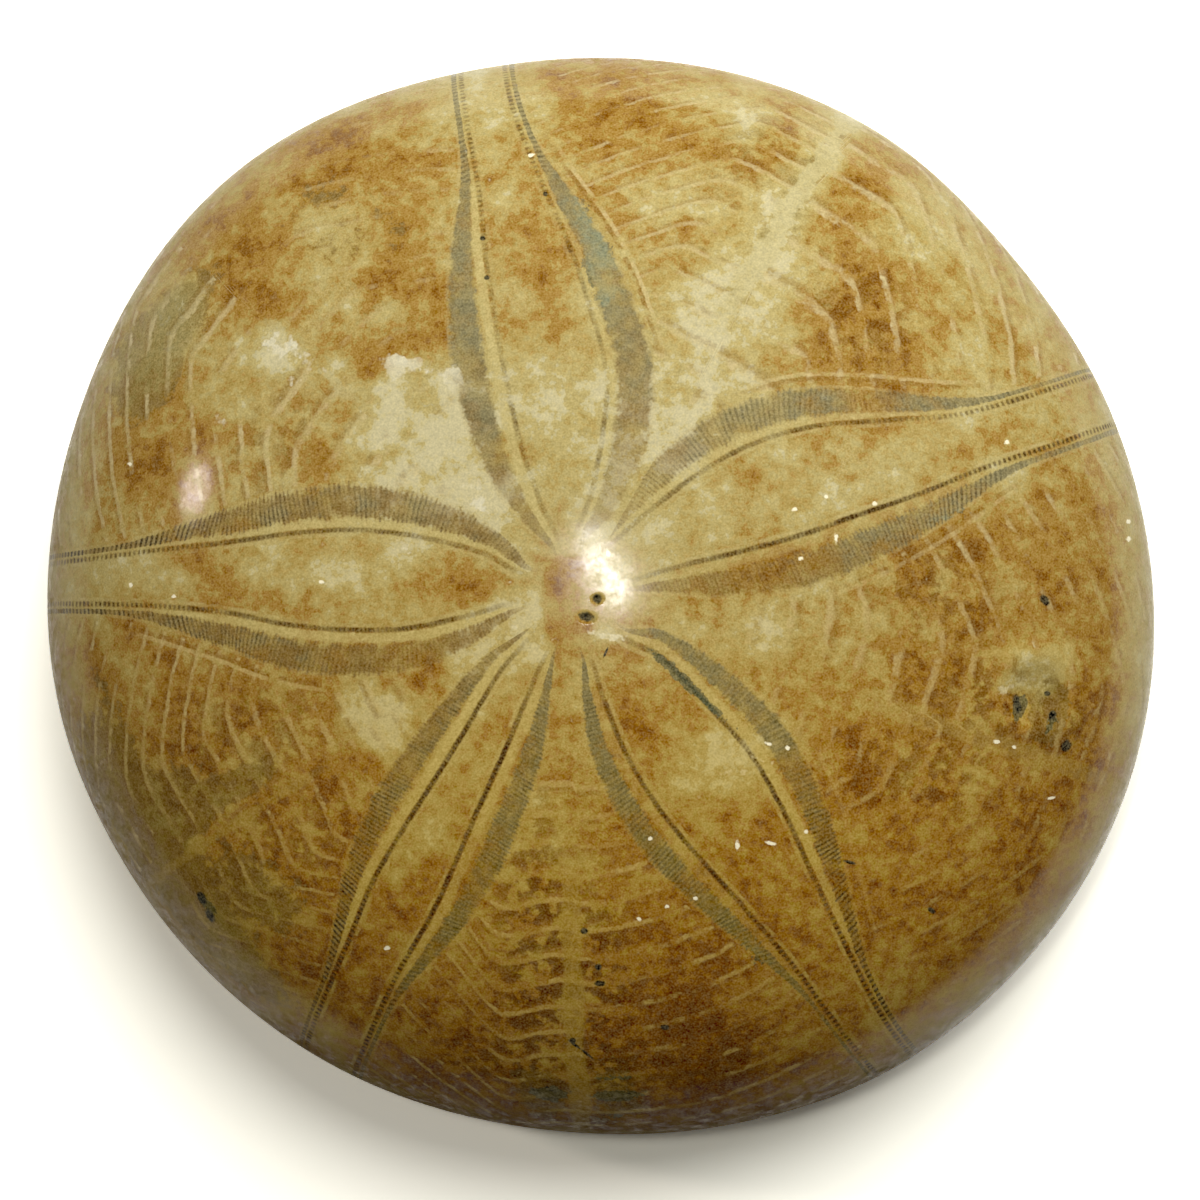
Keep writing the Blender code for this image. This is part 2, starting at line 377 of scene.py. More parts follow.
def pores_passed(length):
    """How many pores of a row lie between the apex and this length along it."""
    step = 0.1
    lengths = np.arange(0.0, 120.0, step)
    passed = np.cumsum(step / np.interp(lengths, PITCH_STATIONS, PORE_PITCH))
    return np.interp(length, lengths, passed)


plan_radius = np.hypot(plan_x, plan_y)
petal_values = {}
for number, (axis, *rows) in enumerate(PETALS):
    before_seam = SEAMS[number - 1]
    turned = (angle - before_seam) % 360.0
    inside = turned < (SEAMS[number] - before_seam) % 360.0
    lean = turned_from(angle, axis)
    for half, side in enumerate((1.0, -1.0)):
        here = inside & (side * lean >= 0.0)
        begin, end, near_grey, far_grey, plain, tone, paleness, edging, *slits = SIDES[number][half]
        row = rows[half]
        out = side * np.radians(lean[here]) * plan_radius[here]
        row_out = curve(ROW_STATIONS, row, reach[here])
        slope = curve(ROW_STATIONS, row, reach[here] + 0.5)
        slope -= curve(ROW_STATIONS, row, reach[here] - 0.5)
        stretch = 1.0 + slope**2
        across = (out - row_out) / np.sqrt(stretch)
        along = reach[here] + (out - row_out) * slope / stretch
        slant = curve(SLIT_STATIONS, SLIT_SLANT, along)
        tip = changed(along, TIP)
        begin += (1.0 - begin) * tip
        inner = begin * curve(BAND_STATIONS, BAND_INNER, along)
        outer = end * curve(BAND_STATIONS, BAND_OUTER, along)
        band_show = plain + (1.0 - plain) * changed(along, BAND_GROWTH)
        for petal, break_half, middle, half_length, depth in BREAKS:
            if (petal, break_half) == (number, half):
                band_show *= 1.0 - depth * hump(along - middle, half_length)
        slit_show = slits[0] + (slits[1] - slits[0]) * changed(along, SLIT_CHANGE)
        side_values = {
            "across": across,
            "bead": pores_passed(along),
            "comb": pores_passed(along - slant * across),
            "slit": (across - inner) / (outer - inner),
            "beyond": across - outer,
            "grey": near_grey + (far_grey - near_grey) * changed(along, GREYING),
            "row_tone": tone,
            "border": edging * changed(along, BORDER_START) * (1.0 - changed(along, BORDER_END)),
            "slit_show": slit_show + (slits[2] - slit_show) * tip,
            "band_show": band_show,
            "stripe_show": paleness * (1.0 - TIP_STRIPE_LOSS * tip),
        }
        for name, values in side_values.items():
            petal_values.setdefault(name, np.zeros(count))[here] = values
for name, values in petal_values.items():
    record(name, values)

# ---------------------------------------------------------------------------------------------
# The plates.
# Between the petals the shell is two columns of wide plates that meet at a seam in the middle.
# Each suture leaves the seam level, dips towards the rim and then climbs beside the petal.
# ---------------------------------------------------------------------------------------------

# The half column clockwise of each seam, then the other: pitch of its sutures, a reach where one
# of them meets the seam, strength, dip and climb.
PLATES = (
    ((3.8, 37.2, 0.8, 0.4, 0.80), (2.2, 35.5, 0.65, 0.5, 0.70)),
    ((2.4, 37.0, 0.4, 0.5, 0.40), (3.0, 28.1, 0.8, 0.2, 0.75)),
    ((2.4, 22.5, 0.8, 0.2, 0.65), (2.3, 37.2, 0.65, 1.3, 0.60)),
    ((2.35, 28.5, 0.85, 1.5, 0.75), (2.33, 28.8, 0.76, -0.4, 0.20)),
    ((2.6, 32.7, 0.55, 0.4, 0.50), (2.9, 31.2, 0.65, 0.3, 0.50)),
)
# A suture lies here between two whole numbers.
SUTURE_AT = 0.5
# How far from the seam a suture dips, how widely, and where it bends to climb beside the petal.
DIP_MIDDLE = 6.3
DIP_WIDTH = 2.8
BEND = 6.0
# Each seam: offset, half-width, first reach, last reach, strength and paleness.
SEAM_BANDS = (
    (0.6, 0.95, 23, 60, 0.75, 1.0), (0.0, 0.40, 22, 36, 0.60, 1.0), (0.9, 0.42, 23, 60, 0.60, 0.1),
    (-0.5, 0.80, 19, 60, 0.62, 0.15), (-0.2, 0.75, 23, 60, 0.38, 0.2),
)

seam_side = np.zeros(count)
seam_edge = np.zeros(count)
seam_show = np.zeros(count)
seam_pale = np.zeros(count)
seam_number = np.zeros(count)
plate = np.zeros(count)
plate_show = np.zeros(count)
for number, seam in enumerate(SEAMS):
    start = PETALS[number][0]
    turned = (angle - start) % 360.0
    inside = turned < (PETALS[(number + 1) % 5][0] - start) % 360.0
    lean = turned_from(angle, seam)
    offset, half_width, first, last, strength, pale = SEAM_BANDS[number]
    for half, side in enumerate((-1.0, 1.0)):
        here = inside & (side * lean >= 0.0)
        out = np.radians(np.abs(lean[here])) * plan_radius[here]
        pitch, line, show, dip, climb = PLATES[number][half]
        past_bend = np.maximum(0.0, out - BEND)
        fall = dip * hump(out - DIP_MIDDLE, DIP_WIDTH) - climb * (np.sqrt(past_bend**2 + 1.0) - 1.0)
        plate[here] = (reach[here] - fall - line) / pitch + SUTURE_AT
        plate_show[here] = show
        seam_side[here] = side * out
    seam_number[inside] = number
    seam_edge[inside] = np.abs(seam_side[inside] - offset) - half_width
    in_reach = eased((reach[inside] - first) / 4.0) * eased((last - reach[inside]) / 5.0)
    seam_show[inside] = strength * in_reach
    seam_pale[inside] = pale
record("plate", plate)
record("plate_show", plate_show)
record("seam_edge", seam_edge)
record("seam_show", seam_show)
record("seam_pale", seam_pale)

# ---------------------------------------------------------------------------------------------
# Some pale patches instead paint highlights, glints and glow, as noted below; a few only make the rim
# paler in one place and darker in another.
# The stains.
# Iron and clay have coloured the calcite in patches, from pale straw through amber to brown.
# Loose patches are set by middle, half-sizes, turn and strength; those that keep to the plates
# are set by their seam, their distance from it, their reach, half-sizes and strength.
# ---------------------------------------------------------------------------------------------

AMBER = (
    (0.1, 2.7, 0.9, 0.7, -30, 1.3), (-1.9, 0.9, 0.6, 0.6, 0, 0.5), (-1.3, -5.0, 0.35, 2.6, 4, 0.6),
    (-1.6, -2.3, 1.0, 0.4, 10, 0.4), (1.0, -2.1, 0.5, 0.5, 0, 0.9), (-1.8, 1.0, 0.6, 0.5, 0, 0.9),
    (-2.2, 2.9, 0.8, 0.4, -30, 0.8), (-18, 35, 6.5, 4.5, 15, 0.6), (-27, 27.5, 4, 3, 0, 0.9),
    (-14, 28, 3.5, 5, 0, 0.5), (-34.5, 11.5, 4.5, 6.5, 0, 0.65), (2, 37.5, 5, 5.5, 0, 0.7),
    (8, 36.5, 3, 3, 0, 0.5), (23, 22, 4, 6, 0, 0.5), (16, 19.5, 4, 3, 0, 0.3), (21.5, 15, 4, 1, 0, 0.5),
    (37.5, 6.5, 6.5, 5, 0, 0.8), (27.5, 1, 4, 4, 0, 0.5), (28, -7, 4.5, 3, 0, 0.5),
    (37, -1.5, 7, 4.5, 0, 0.5), (39, -11, 4, 4.5, 0, 0.6), (22, -11, 4.5, 4, 0, 0.4),
    (29, -21, 9.5, 8.5, 0, 0.6), (37, -18.5, 5, 5.5, 0, 0.4), (5.5, -28, 7, 7, 0, 0.5),
    (11, -36, 7, 3.5, 0, 0.8), (-11.5, -34.5, 6.5, 3.5, 0, 0.6), (14.5, -18.5, 3, 2.5, 0, 0.5),
    (16.5, -25.5, 4, 3, 0, 0.45), (6.5, -10, 4.5, 4, 0, 0.7), (-9, 1, 2.5, 3, 0, 0.9),
    (-28.8, 2.0, 1.8, 2.6, 0, 0.8), (-24.8, 0.4, 1.3, 1.0, 0, 0.5), (-13.5, -4.5, 3, 1.5, 0, 0.6),
    (-34.5, -7, 8.5, 7, 0, 0.5), (-28.5, -19.5, 5, 4, 0, 0.4), (-19.5, -27.5, 3.5, 3.5, 0, 0.5),
    (-11.5, -22, 2.5, 3, 0, 0.6), (-3, 28, 3, 3, 0, 0.45), (-1.5, 20.5, 3, 3, 0, 0.35),
    (-6.5, 12.5, 1.5, 3.5, 0, 0.4), (24.4, 15.3, 3.6, 1.7, 10, 1.3), (17.5, 3, 6, 1.5, 15, 0.5),
    (13.5, 9.5, 2.5, 1.2, 20, 0.5), (31, 12, 3, 1, 10, 0.4),
)
STRAW_AND_SHEEN = (
    # The first five paint the highlight on the dent's lip; the sixth pales the stone and paints the
    # glow by the apex.
    (33.2, -6.8, 0.9, 0.55, 15, 1.6), (35.4, -6.0, 1.6, 0.5, 15, 1.5), (37.4, -5.6, 1.0, 0.5, 10, 1.3),
    (38.2, -4.1, 0.5, 1.3, -8, 1.2), (36.4, -4.9, 1.7, 1.3, 0, 0.9), (4.0, 8.5, 8.5, 8.0, 0, 0.45),
    (-7.4, -1.8, 4.2, 1.3, 18, 1.1), (2.6, -2.7, 1.4, 0.6, 0, 1.2), (-2.8, -4.4, 1.2, 0.9, 0, 0.9),
    (-11.5, 13.5, 5.5, 4.5, 0, 0.9), (-12.0, 17.0, 3.5, 1.6, -10, 0.6),
    (-23.4, 20.0, 3.4, 1.8, -35, 0.9), (-8, 8.5, 3, 2, 0, 1.0), (21.5, 39.5, 3, 1.5, 0, 1.0),
    (14, 27, 2, 6, -30, 0.6), (11, 22.5, 4.5, 3, 0, 0.6), (-1, 16.5, 4.5, 3, 0, 0.7),
    (-18, 2, 2.5, 1.5, 0, 1.0), (-13.5, 4, 1.5, 1, 0, 1.0), (-25.5, 3.2, 2.2, 1.6, 0, 0.9),
    (11.5, -12.8, 4.5, 2.8, 0, 1.3), (-16.5, -9.5, 3.5, 2.5, 0, 0.6), (-6, -3, 4, 2, 35, 0.9),
    (-11.5, -18, 2, 4.5, -35, 0.7), (16, -1.5, 2.5, 1.5, 0, 0.6), (-37, 2.5, 5.5, 2, 0, 0.7),
    (-7, 41.5, 5, 3, 0, 0.8), (34.5, 9.5, 1.5, 1.5, 0, 1.0), (7.5, 13, 2, 2, 0, 0.8),
    (6.8, 39.8, 1.8, 1.6, 0, 0.8), (12.5, 38.5, 3, 1.5, -10, 0.6), (27.5, 13.5, 5.5, 2.5, 10, 0.4),
    (4, 10, 3, 4, -10, 0.4), (20, 8.5, 5, 1.6, 15, 0.4),
)
AMBER_ON_PLATES = (
    (0, -3.1, 41.5, 2.1, 4.6, 0.9), (0, -9.5, 32.5, 5.0, 3.2, 0.6), (0, -5.5, 29.0, 3.0, 1.6, 0.5),
    (0, 4.7, 41.5, 1.1, 3.8, 0.8), (0, 7.5, 38.5, 1.6, 1.2, 0.5), (0, 7.2, 30.9, 0.8, 0.7, 1.0),
    (0, 7.0, 26.5, 1.2, 2.0, 0.4), (0, 13.0, 36.5, 3.5, 1.2, 0.5), (0, 14.0, 41.5, 3.0, 2.0, 0.5),
    (1, -7.0, 24.3, 3.6, 2.2, 0.9), (1, -3.2, 24.5, 1.6, 1.2, 0.7), (1, 3.0, 25.0, 3.0, 3.5, 0.4),
    (1, 6.0, 23.0, 2.5, 1.2, 0.5), (1, -1.5, 37.5, 3.6, 4.5, 0.9), (1, -9.0, 29.0, 4.0, 2.0, 0.5),
    (1, -3.5, 19.6, 0.9, 0.9, 0.9), (1, 1.5, 18.9, 1.0, 0.7, 0.7), (1, -5.0, 21.0, 0.8, 0.8, 0.7),
    (1, 13.0, 36.0, 4.0, 3.0, 0.5), (1, -14.0, 42.0, 3.0, 4.0, 0.6), (1, -3.0, 44.0, 6.0, 1.5, 0.5),
    (2, -1.2, 12.2, 0.8, 0.7, 0.9), (2, -1.0, 14.2, 1.0, 1.1, 0.8), (2, 0.5, 14.0, 1.2, 1.2, 0.5),
    (2, -2.0, 16.0, 0.9, 0.6, 0.7), (2, -4.0, 20.3, 0.7, 0.6, 0.8), (2, 2.0, 21.0, 1.5, 0.8, 0.6),
    (2, -2.0, 24.0, 5.0, 3.0, 0.45), (2, 3.0, 26.0, 4.0, 3.0, 0.5), (2, 8.0, 32.5, 4.0, 3.0, 0.5),
    (2, 13.0, 37.5, 2.5, 3.0, 0.8), (2, -6.0, 31.0, 4.0, 3.0, 0.35), (3, 8.0, 38.0, 5.0, 6.0, 0.4),
    (3, 9.0, 28.0, 4.0, 3.0, 0.3), (3, -9.0, 34.0, 4.0, 4.0, 0.3), (4, 3.4, 29.0, 1.8, 1.4, 1.0),
    (4, 2.5, 33.5, 2.0, 2.0, 0.5), (4, 9.5, 27.0, 2.5, 1.2, 0.6), (4, 11.0, 30.5, 2.5, 1.2, 0.5),
    (4, -4.0, 31.5, 2.2, 1.6, 0.5), (4, -8.0, 25.0, 4.0, 2.5, 0.5), (4, 0.0, 42.5, 14.0, 2.6, 0.4),
    # Of the next three, the last two only darken the hind rim.
    (4, 3.0, 40.5, 3.0, 2.5, 0.5), (3, -6.0, 45.5, 9.0, 4.0, 0.6), (3, 8.0, 46.0, 9.0, 3.5, 0.5),
    (0, 4.0, 31.0, 3.5, 3.0, 0.4), (0, 20.0, 47.5, 9.0, 4.0, 0.6), (0, 2.0, 48.5, 8.0, 2.5, 0.3),
)
STRAW_ON_PLATES = (
    (0, 0.5, 30.0, 5.0, 5.0, 0.6), (0, 0.6, 41.0, 1.5, 9.0, 0.6), (0, -1.0, 20.0, 4.0, 6.0, 0.5),
    (0, 9.0, 34.0, 4.0, 3.0, 0.5), (0, -9.0, 42.0, 3.5, 5.0, 0.4), (0, 10.0, 45.5, 5.0, 3.0, 0.4),
    (1, 0.0, 12.0, 3.0, 3.5, 0.5), (1, 0.0, 18.0, 5.0, 3.6, 0.7), (1, 1.6, 31.5, 1.3, 1.6, 1.0),
    (1, -1.5, 26.8, 1.1, 0.7, 0.8), (1, -6.5, 27.3, 1.3, 0.6, 0.8), (1, -5.5, 29.8, 0.9, 0.6, 0.7),
    (1, -6.0, 36.0, 3.0, 4.0, 0.5), (1, 4.0, 41.0, 3.5, 2.5, 0.6), (2, 0.0, 18.2, 3.6, 2.0, 0.8),
    (2, 0.0, 9.0, 1.6, 3.0, 0.7), (3, -2.0, 16.5, 3.0, 2.5, 0.5), (3, -1.0, 21.0, 2.0, 2.0, 0.3),
    (4, 1.3, 15.0, 1.6, 1.3, 0.8), (4, 0.0, 12.0, 2.0, 3.0, 0.4), (4, 2.5, 23.6, 0.9, 0.9, 0.6),
    (4, 6.0, 36.5, 2.5, 3.5, 0.4), (2, 7.0, 35.2, 4.0, 2.0, 0.4), (2, 10.0, 43.5, 6.0, 2.0, 0.4),
    # This one only makes the right rim paler.
    (4, 2.0, 49.5, 26.0, 4.0, 0.8),
)
OLIVE_ON_PLATES = (
    (2, -1.7, 31.0, 1.3, 4.5, 0.9), (2, -3.0, 37.5, 2.6, 3.5, 0.8), (2, 4.5, 40.5, 6.0, 4.0, 0.5),
    (2, -2.0, 43.5, 8.0, 4.0, 0.7), (2, 7.0, 35.2, 4.0, 2.4, 0.7), (2, 10.0, 43.5, 6.0, 2.4, 0.8),
    (2, -10.0, 43.0, 6.0, 5.0, 0.5), (1, 4.0, 41.0, 5.0, 3.0, 0.6), (1, 10.0, 42.0, 4.0, 4.0, 0.8),
    (1, -10.0, 36.0, 4.0, 5.0, 0.5), (0, 0.6, 36.0, 2.0, 12.0, 0.4), (3, -3.5, 43.0, 2.0, 3.0, 1.0),
    (3, 2.2, 43.0, 2.2, 4.0, 0.8), (4, 3.6, 38.4, 2.4, 1.8, 1.0), (1, 1.0, 12.0, 2.0, 2.0, 0.4),
)
CELLS_ON_PLATES = (
    (3, -3.2, 31.0, 2.8, 11.0, 1.0), (3, 2.0, 33.0, 1.9, 9.0, 0.9), (3, -8.0, 40.0, 4.0, 4.0, 0.5),
    (3, 8.0, 41.0, 6.0, 4.0, 0.4), (4, 2.6, 35.0, 3.0, 8.0, 0.6), (4, -4.0, 31.0, 3.0, 5.0, 0.5),
    (2, -4.0, 32.0, 4.0, 8.0, 0.5), (2, 5.0, 33.0, 4.0, 8.0, 0.4), (0, 5.0, 40.0, 3.0, 5.0, 0.3),
    (1, 8.0, 27.0, 5.0, 3.0, 0.3), (0, -9.0, 32.0, 4.0, 4.0, 0.4), (4, 10.0, 28.0, 3.0, 4.0, 0.5),
)
TEAL = (
    (8.6, -6.4, 4.8, 0.45, -43, 1.1), (14, 1, 2.0, 0.8, 0, 0.4), (-19.5, -4.5, 2.0, 0.8, 0, 0.3),
    (29, 7, 2.6, 1.2, 15, 0.55), (13.6, -27.3, 2.6, 1.0, -50, 0.7), (1.9, 25.6, 1.7, 2.4, 10, 1.0),
    (32, 16.4, 3.0, 1.1, 5, 0.42), (0.3, 30.5, 1.2, 3.0, 20, 0.6), (35.4, -8.2, 1.3, 0.7, 0, 0.42),
)
TEAL_ON_PLATES = (
    (2, 5.2, 41.2, 1.3, 0.6, 1.0), (3, 2.6, 40.5, 1.8, 0.45, 0.8), (3, 2.6, 42.7, 1.9, 0.70, 1.25),
    (3, 2.0, 45.8, 1.6, 0.8, 0.7), (3, -2.8, 42.8, 1.7, 1.1, 1.0), (4, 3.0, 35.8, 1.2, 0.5, 1.0),
    (4, 2.5, 38.9, 0.9, 0.6, 0.8),
)
CRYSTAL_AND_GLINTS = (
    (-14.3, 18.9, 1.6, 0.6, -5, 0.95), (-14.4, 17.6, 0.4, 1.0, 0, 0.9),
    (-12.3, 18.4, 0.6, 0.8, 20, 0.8), (-9.7, 17.0, 1.4, 0.8, -25, 1.1), (-9.3, 18.2, 0.4, 0.9, 0, 0.8),
    (-7.8, 8.7, 1.9, 1.2, -15, 0.62), (-23.6, 20.4, 2.3, 1.3, -35, 0.42),
    (-22.9, 16.8, 0.4, 2.4, -37, 0.45), (-18.6, 18.0, 1.2, 0.8, 20, 0.42),
    # The first on the next line paints a small highlight on the left flank.
    (-28.5, 14.4, 1.4, 1.2, 0, 0.55), (-13.6, 4.3, 1.4, 1.0, 0, 0.55), (-18.0, 2.7, 2.2, 0.8, 0, 0.45),
    (2.0, -2.7, 0.8, 0.35, 0, 1.0), (3.3, -2.9, 0.7, 0.35, 10, 0.9), (-4.5, -1.9, 1.0, 0.45, 30, 0.8),
    (-1.6, -3.2, 0.5, 0.9, 0, 0.5), (13.2, -16.5, 1.2, 0.3, 20, 0.4),
    # The last on the next line and the two below it paint the highlight on the dent's lip.
    (12.6, -12.6, 2.8, 1.6, -10, 0.50), (33.2, -6.9, 0.8, 0.5, 15, 1.0),
    (34.9, -6.2, 1.3, 0.35, 15, 0.75), (37.0, -5.7, 0.9, 0.3, 10, 0.6),
)
CRYSTAL_ON_PLATES = (
    (1, -4.2, 23.0, 0.9, 0.7, 0.7), (1, 1.6, 31.5, 1.0, 1.2, 0.5), (1, 0.2, 28.5, 0.5, 2.5, 0.5),
    (1, 0.0, 10.5, 1.3, 1.0, 0.5),
)


# How fast a patch fades outwards.
LOOSE_FADE = 0.8
PLATE_FADE = 0.6


def in_oval(middle_x, middle_y, half_width, half_length, turn):
    """Where every point of the stone lies in a turned oval, in half-widths and half-lengths."""
    cosine = math.cos(math.radians(turn))
    sine = math.sin(math.radians(turn))
    right = plan_x - middle_x
    up = plan_y - middle_y
    return (right * cosine + up * sine) / half_width, (up * cosine - right * sine) / half_length


def loose_patches(entries):
    """The strength of a group of loose patches at every point of the stone."""
    total = np.zeros(count)
    for *oval, strength in entries:
        oval_x, oval_y = in_oval(*oval)
        total += strength * np.exp(-LOOSE_FADE * (oval_x**2 + oval_y**2))
    return total * (1.0 - under)


def plate_patches(entries):
    """The same for patches that keep to the plates beside one seam."""
    total = np.zeros(count)
    for number, lateral, middle, half_width, half_length, strength in entries:
        inside = ((seam_side - lateral) / half_width) ** 2 + ((reach - middle) / half_length) ** 2
        total += strength * np.exp(-PLATE_FADE * inside**1.5) * (seam_number == number)
    return total * (1.0 - under)


# How brown the stone is: 0 is pale straw and 1 is dark brown.  Patches are capped where they
# overlap, and only the hind part goes to full brown.
PLAIN_STAIN = 0.40
HIND_STAIN = 0.10
AMBER_STAIN = 0.36
STRAW_STAIN = 0.32
MOST_PATCH = 1.1
APICAL_STAIN = 0.17
APICAL_EDGE_STAIN = 0.06
APICAL_PLATE = (-1.05, 0.1)
APICAL_HALF_SIZES = (1.4, 3.1)
APICAL_OUTER = 1.6
APICAL_SOFT = 1.2
APICAL_EDGE = 1.1
APICAL_EDGE_WIDTH = 0.4
BROWN_FROM = 0.56
BROWN_AT_FRONT = 0.45
FULL_BROWN_FROM = -22.0
FULL_BROWN_DEPTH = 14.0
UNDER_STAIN = 0.50
UNDER_OLIVE = 0.42
UNDER_HIND = 0.5
STAIN_FROM = 8.0
WARMTH_FROM = 13.0
HIND_DEPTH = 40.0

amber = np.minimum(loose_patches(AMBER) + plate_patches(AMBER_ON_PLATES), MOST_PATCH)
straw = np.minimum(loose_patches(STRAW_AND_SHEEN) + plate_patches(STRAW_ON_PLATES), MOST_PATCH)
stain = PLAIN_STAIN + HIND_STAIN * eased((STAIN_FROM - plan_y) / HIND_DEPTH)
stain += AMBER_STAIN * amber - STRAW_STAIN * straw
apical_x = (plan_x - APICAL_PLATE[0]) / APICAL_HALF_SIZES[0]
apical_y = (plan_y - APICAL_PLATE[1]) / APICAL_HALF_SIZES[1]
apical = apical_x**4 + apical_y**4
stain += APICAL_STAIN * eased((APICAL_OUTER - apical) / APICAL_SOFT)
stain += APICAL_EDGE_STAIN * hump(apical - APICAL_EDGE, APICAL_EDGE_WIDTH)
full_brown = eased((FULL_BROWN_FROM - plan_y) / FULL_BROWN_DEPTH)
kept_brown = BROWN_AT_FRONT + (1.0 - BROWN_AT_FRONT) * full_brown
stain = np.minimum(stain, BROWN_FROM + kept_brown * (stain - BROWN_FROM))
# Painted shade: this weight also darkens and warms the hind part, and half of that underneath.
hind = eased((WARMTH_FROM - plan_y) / HIND_DEPTH)
record("hind", hind * (1.0 - under) + UNDER_HIND * under)
record("stain", stain * (1.0 - under) + UNDER_STAIN * under)
record("olive", plate_patches(OLIVE_ON_PLATES) + UNDER_OLIVE * under)
record("cells", plate_patches(CELLS_ON_PLATES))
record("teal", loose_patches(TEAL) + plate_patches(TEAL_ON_PLATES))
record("crystal", loose_patches(CRYSTAL_AND_GLINTS) + plate_patches(CRYSTAL_ON_PLATES))

# Small oval marks, each from the apex: middle, half-sizes and turn.
DARK_MARKS = (
    (36.4, 0.1, 0.50, 0.30, -50), (34.2, -8.0, 0.32, 0.85, 8), (37.0, -8.9, 0.32, 0.40, -20),
    (36.6, -7.2, 0.25, 0.22, 0), (38.1, -11.3, 0.40, 0.50, -30), (0.5, -25.75, 0.28, 0.26, 0),
    (1.5, -28.6, 0.28, 0.26, 0), (1.6, -29.9, 0.42, 0.24, 0), (-0.7, -34.5, 0.26, 0.24, 0),
    (-0.6, -34.8, 0.60, 0.12, -38), (0.4, -35.6, 0.60, 0.12, -42), (-7.6, 28.6, 0.22, 0.20, 0),
    (-7.15, 25.4, 0.22, 0.22, 0), (-2.75, 32.2, 0.20, 0.20, 0), (27.5, -24.2, 0.35, 0.20, -40),
    (-30.6, -23.4, 0.34, 0.65, 24), (-30.0, -24.8, 0.36, 0.60, 30), (1.72, 0.05, 0.36, 0.36, 0),
    (0.87, -1.35, 0.62, 0.36, -12), (2.4, -4.1, 0.10, 0.40, -25), (21.2, -20.4, 0.50, 0.14, -15),
    (6.6, -33.4, 0.40, 0.22, 0),
)
# Pale marks that paint the glints off tiny crystals and pits.
GLINT_MARKS = (
    (-36.0, 1.5, 0.26, 0.30, 0), (-32.2, 0.5, 0.30, 0.20, 0), (-20.0, 1.5, 0.26, 0.20, 0),
    (17.0, 7.0, 0.30, 0.20, 20), (19.5, 8.0, 0.26, 0.20, 0), (20.2, 4.8, 0.22, 0.50, 10),
    (17.5, 3.2, 0.26, 0.20, 0), (23.2, 7.5, 0.26, 0.20, 0), (33.5, 12.5, 0.30, 0.22, 0),
    (15.1, -18.9, 0.60, 0.18, -15), (12.5, -19.0, 0.20, 0.55, 0), (17.8, -18.0, 0.26, 0.20, 0),
    (7.0, -23.8, 0.28, 0.20, 0), (-4.0, 35.5, 0.32, 0.22, 0), (43.2, 5.2, 0.30, 0.26, 0),
    (43.2, 6.6, 0.26, 0.24, 0), (15.0, -11.2, 0.40, 0.16, -20), (16.4, -11.5, 0.26, 0.20, 0),
    (-15.2, -27.2, 0.26, 0.22, 0), (4.8, -24.8, 0.24, 0.20, 0), (5.8, -18.5, 0.26, 0.20, 0),
    (9.2, -23.2, 0.24, 0.20, 0), (32.6, -11.0, 0.34, 0.20, 0), (34.0, -11.4, 0.26, 0.20, 0),
    (-36.3, 11.2, 0.24, 0.20, 0), (36.9, -15.4, 0.50, 0.16, 10), (2.6, 3.6, 0.22, 0.40, 20),
)
# A mark is held this far from its middle, and fades out of sight before that.
MARK_REACH = 1.7
MARK_FADE = 0.8
MARK_FADE_LENGTH = 0.7
MARK_SPACING = 3.2
NO_MARK = 9.0


def keep_marks(name, marks):
    """Holds where each point lies in the oval near it; ovals that are close get own layers."""
    layers = []
    for mark in marks:
        for layer in layers:
            if all(math.dist(mark[:2], other[:2]) > MARK_SPACING for other in layer):
                layer.append(mark)
                break
        else:
            layers.append([mark])
    names = []
    for layer in layers:
        held = np.full((count, 3), NO_MARK)
        for mark in layer:
            distance = np.hypot(plan_x - mark[0], plan_y - mark[1])
            near = (distance < MARK_REACH) & above
            oval_x, oval_y = in_oval(*mark)
            held[near, 0] = oval_x[near]
            held[near, 1] = oval_y[near]
            held[near, 2] = NO_MARK * eased((distance[near] - MARK_FADE) / MARK_FADE_LENGTH)
        names.append(f"{name}_{len(names)}")
        layer_held = stone_mesh.attributes.new(names[-1], "FLOAT_VECTOR", "POINT")
        layer_held.data.foreach_set("vector", held.astype(np.float32).ravel())
    return names


dark_layers = keep_marks("dark", DARK_MARKS)
glint_layers = keep_marks("bright", GLINT_MARKS)
